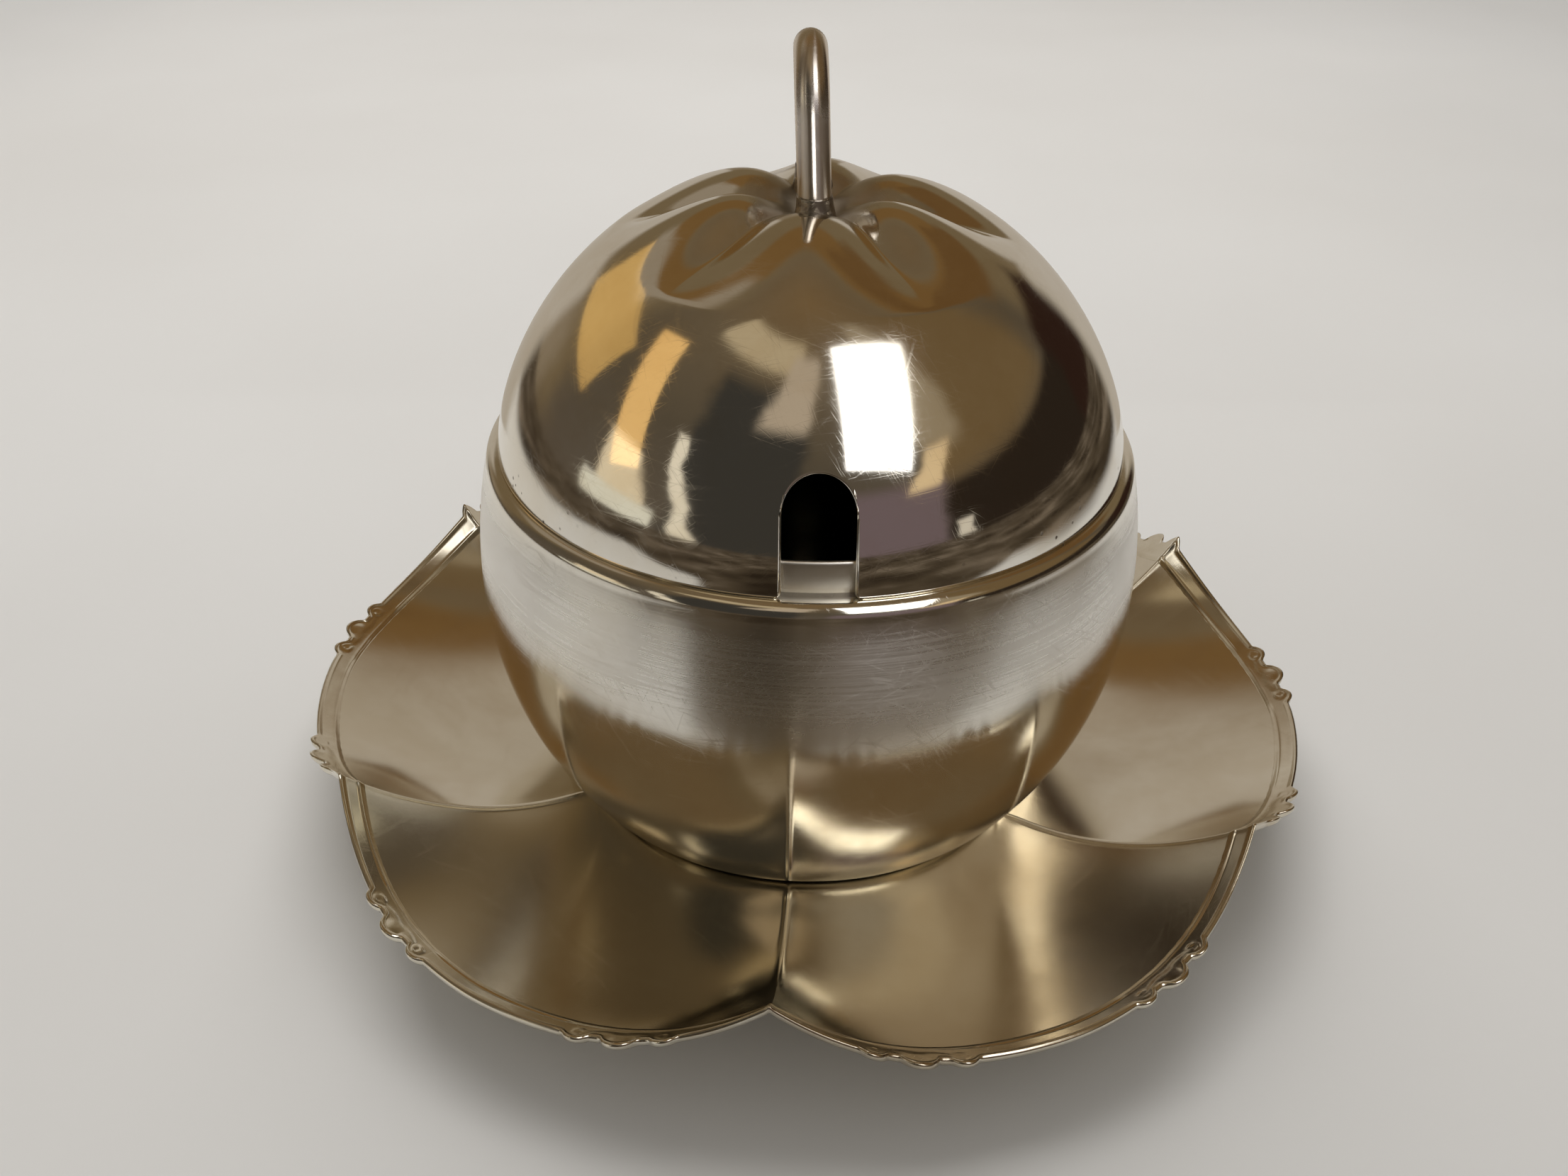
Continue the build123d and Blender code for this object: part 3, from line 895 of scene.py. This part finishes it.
def back_card_material():
    """Pale card close behind the dish, which fades out at its top and sides."""
    material, nodes = new_material("back_card")
    place = nodes.add("ShaderNodeTexCoord").outputs["Object"]
    x, _, z = nodes.add("ShaderNodeSeparateXYZ", {0: place}).outputs
    wobble = nodes.wobble(nodes.noise(place, 14.0, 2.0), 0.03)
    lowered = nodes.ramp(nodes.math("ABSOLUTE", x), 0.018, 0.034, 0.036, 0.0)
    top = nodes.ramp(nodes.math("ADD", nodes.math("ADD", z, wobble), lowered), 0.112, 0.130, 1.0, 0.0)
    sides = nodes.ramp(nodes.math("ABSOLUTE", x), 0.13, 0.17, 1.0, 0.0)
    pale = nodes.colours(nodes.noise(place, 9.0, 2.0), (0.3, (0.40, 0.35, 0.28)), (0.7, (0.47, 0.42, 0.36)))
    return card_material(material, nodes, nodes.math("MULTIPLY", top, sides), pale)


def add_light(name, direction, distance, size, power, colour, roll=0.0, in_glossy=True, in_diffuse=True):
    """Soft rectangular light that faces the pot. direction is (azimuth, elevation) in degrees."""
    data = bpy.data.lights.new(name, "AREA")
    data.shape = "RECTANGLE"
    data.size, data.size_y = size
    data.energy = power
    data.color = colour
    light = bpy.data.objects.new(name, data)
    bpy.context.scene.collection.objects.link(light)
    azimuth, elevation = radians(direction[0]), radians(direction[1])
    away = Vector((cos(azimuth) * cos(elevation), sin(azimuth) * cos(elevation), sin(elevation)))
    light.location = Vector((0, 0, lid_rim_z)) + away * distance
    light.rotation_mode = "QUATERNION"
    light.rotation_quaternion = away.to_track_quat("Z", "Y") @ Quaternion((0, 0, 1), radians(roll))
    light.visible_glossy = in_glossy
    light.visible_diffuse = in_diffuse
    light.visible_camera = False
    return light


def light_only(light, piece, included):
    """Keeps a light for one piece alone, or off that piece alone."""
    receivers = bpy.data.collections.new(light.name + "_receivers")
    receivers.objects.link(piece)
    receivers.collection_objects[0].light_linking.link_state = "INCLUDE" if included else "EXCLUDE"
    light.light_linking.receiver_collection = receivers


def make_world():
    """Warm room for the silver to mirror, brown with soft panels, and an even pale light for the floor."""
    world = bpy.data.worlds.new("world")
    world.use_nodes = True
    bpy.context.scene.world = world
    nodes = Nodes(world.node_tree)
    direction = nodes.add("ShaderNodeTexCoord").outputs["Generated"]
    x, y, z = nodes.add("ShaderNodeSeparateXYZ", {0: direction}).outputs
    wobble = nodes.wobble(nodes.noise(direction, 3.5, 3.0, 0.55), 16.0)
    azimuth = nodes.math("MULTIPLY", nodes.math("ARCTAN2", y, x), 180 / pi)
    azimuth = nodes.math("ADD", azimuth, wobble)
    elevation = nodes.math("MULTIPLY", nodes.math("ARCSINE", z), 180 / pi)
    colour = nodes.colours(nodes.math("DIVIDE", elevation, 90.0),
                           (0.0, (0.10, 0.08, 0.06)), (0.35, (0.085, 0.067, 0.045)),
                           (0.7, (0.13, 0.096, 0.058)), (1.0, (0.17, 0.108, 0.05)))
    panels = (
        # azimuth, half width, elevation, half height, lean, softness, colour
        (95, 62, 32, 34, 0.0, 16, (0.165, 0.12, 0.066)),     # wall behind, upper part
        (88, 46, 53, 11, 0.0, 6, (0.165, 0.092, 0.032)),     # gold brown band across it
        (95, 50, 0, 12, 0.0, 12, (0.24, 0.19, 0.13)),        # wall behind, lower part
        (140, 12, 48, 13, 0.3, 6, (0.28, 0.23, 0.17)),       # tan, back left
        (-118, 24, 26, 30, 0.0, 8, (0.040, 0.036, 0.030)),   # dark, in front
        (-132, 34, 68, 6, 0.0, 4, (0.44, 0.35, 0.22)),       # cream strip above
        (-100, 11, 56, 13, 0.4, 6, (0.42, 0.34, 0.25)),      # tan, high in front
        (-164, 9, 12, 8, -0.3, 3, (0.72, 0.60, 0.42)),       # cream, under the gold curtain
        (-139, 3.5, 14, 18, -0.35, 2, (0.78, 0.70, 0.56)),   # narrow cream curtain
        (-162, 15, 0, 5, 0.0, 2, (0.70, 0.67, 0.56)),        # white, low left
        (-12, 34, 46, 28, 0.0, 14, (0.150, 0.098, 0.045)),   # brown, right
        (-38, 10, 54, 24, 0.0, 8, (0.29, 0.23, 0.15)),       # tan, right of the window
        (-62, 20, 4, 18, 0.0, 6, (0.15, 0.11, 0.115)),       # mauve grey, front right
        (0, 42, 5, 13, 0.0, 4, (0.022, 0.015, 0.010)),       # dark, low right
        (-45, 6, 25, 6, 0.8, 3, (0.70, 0.52, 0.30)),         # orange, under the window
        (38, 12, 8, 14, 0.0, 5, (0.025, 0.012, 0.008)),      # near black, low right
        (45, 15, 46, 13, 0.0, 6, (0.13, 0.07, 0.025)),       # brown, back right
        (-36, 3, 2, 3, 0.0, 1, (0.62, 0.56, 0.46)),          # small cream light, low right
    )
    for middle, half_width, height, half_height, lean, soft, panel in panels:
        above = nodes.math("SUBTRACT", elevation, float(height))
        away = nodes.math("SUBTRACT", azimuth, float(middle))
        away = nodes.math("SUBTRACT", away, nodes.math("MULTIPLY", above, lean)) if lean else away
        wrapped = nodes.add("ShaderNodeMath", {0: away, 1: 180.0, 2: -180.0}, operation="WRAP").outputs[0]
        inside = []
        for from_middle, half in ((wrapped, half_width), (above, half_height)):
            distance = nodes.math("ABSOLUTE", from_middle)
            inside.append(nodes.ramp(distance, half - soft / 2, half + soft / 2, 1.0, 0.0))
        colour = nodes.mix(nodes.math("MULTIPLY", *inside), colour, panel)
    is_diffuse = nodes.add("ShaderNodeLightPath").outputs["Is Diffuse Ray"]
    colour = nodes.mix(is_diffuse, colour, (0.37, 0.357, 0.340))  # even light for the floor
    background = nodes.add("ShaderNodeBackground", {"Color": colour, "Strength": 1.0})
    nodes.add("ShaderNodeOutputWorld", {"Surface": background.outputs[0]})


# ---------------------------------------------------------------- the scene

make_camera()
bpy.context.scene.view_settings.view_transform = "Standard"

lid_silver = silver("plate_polished_lid", (0.86, 0.83, 0.76), (0.74, 0.66, 0.52), 0.06, 0.11,
                    pits_z=lid_rim_z, dull_r=9.5 * MM)
pot_silver = silver("plate_polished_pot", (0.86, 0.83, 0.75), (0.74, 0.67, 0.54), 0.07, 0.12, brushed=1.0,
                    brush_low=belly_z + 3 * MM, brush_high=shoulder_z - 3 * MM, drawn=0.85)
dish_silver = silver("plate_satin_dish", (0.80, 0.755, 0.65), (0.70, 0.625, 0.49), 0.14, 0.20, scratch=0.5)
border_silver = silver("plate_satin_border", (0.82, 0.78, 0.67), (0.58, 0.49, 0.36), 0.13, 0.22, haze=0.7)
collar_silver = silver("plate_satin_collar", (0.84, 0.81, 0.74), (0.72, 0.66, 0.56), 0.22, 0.30,
                       brushed=1.0, brush_low=collar_low.z, brush_high=collar_high.z)
wire_silver = silver("wire_polished", (0.86, 0.81, 0.75), (0.62, 0.52, 0.44), 0.24, 0.32,
                     haze=0.6, drawn=0.9)

lid = make_lid(lid_silver)
make_pot(pot_silver)
make_collar(collar_silver)
make_liner(glass_material())
make_foot(dish_silver)
petal_dish = make_dish(dish_silver)
make_border(border_silver)
handle = make_handle(wire_silver)
solder_look = solder_material()
make_solder(solder_look, -1, "solder_ring_front", "solder_front")
make_solder(solder_look, 1, "solder_ring_back", "solder_back")

make_floor(floor_material())
# Card of painted shade, seen only in the silver, over the floor in front of the dish and at its sides.
add_card("painted_shade_card", ((-2, -2, table_z + 0.0006), (2, 2, table_z + 0.0006)), painted_shade_card_material())
add_card("back_card", ((-0.18, 0.125, table_z + 0.001), (0.18, 0.125, 0.14)), back_card_material())
make_world()
add_light("key", (98, 57), 0.75, (0.85, 0.65), 4.4, (1.0, 0.985, 0.965), in_glossy=False)
# The rest show only as reflections.
window = add_light("window", (-59, 49), 0.9, (0.37, 0.68), 2.0, (1.0, 1.0, 1.0), roll=-16, in_diffuse=False)
glow = add_light("glow", (-30, 36), 0.9, (1.6, 0.9), 1.2, (1.0, 0.95, 0.91), in_diffuse=False)
curtain = add_light("curtain", (-168, 32), 0.9, (0.19, 0.65), 0.27, (1.0, 0.60, 0.20), roll=23,
                    in_diffuse=False)
gold = add_light("gold", (150, 28), 0.9, (0.58, 0.35), 0.27, (1.0, 0.60, 0.16), in_diffuse=False)
side = add_light("side", (25, 22), 0.9, (0.35, 0.35), 0.8, (1.0, 0.95, 0.88), in_diffuse=False)
front = add_light("front", (-88, -15), 0.17, (0.05, 0.07), 0.12, (1.0, 0.98, 0.95), in_diffuse=False)
light_only(window, petal_dish, False)
light_only(glow, petal_dish, True)
light_only(side, petal_dish, True)
light_only(curtain, lid, True)
light_only(gold, lid, True)
light_only(front, handle, True)
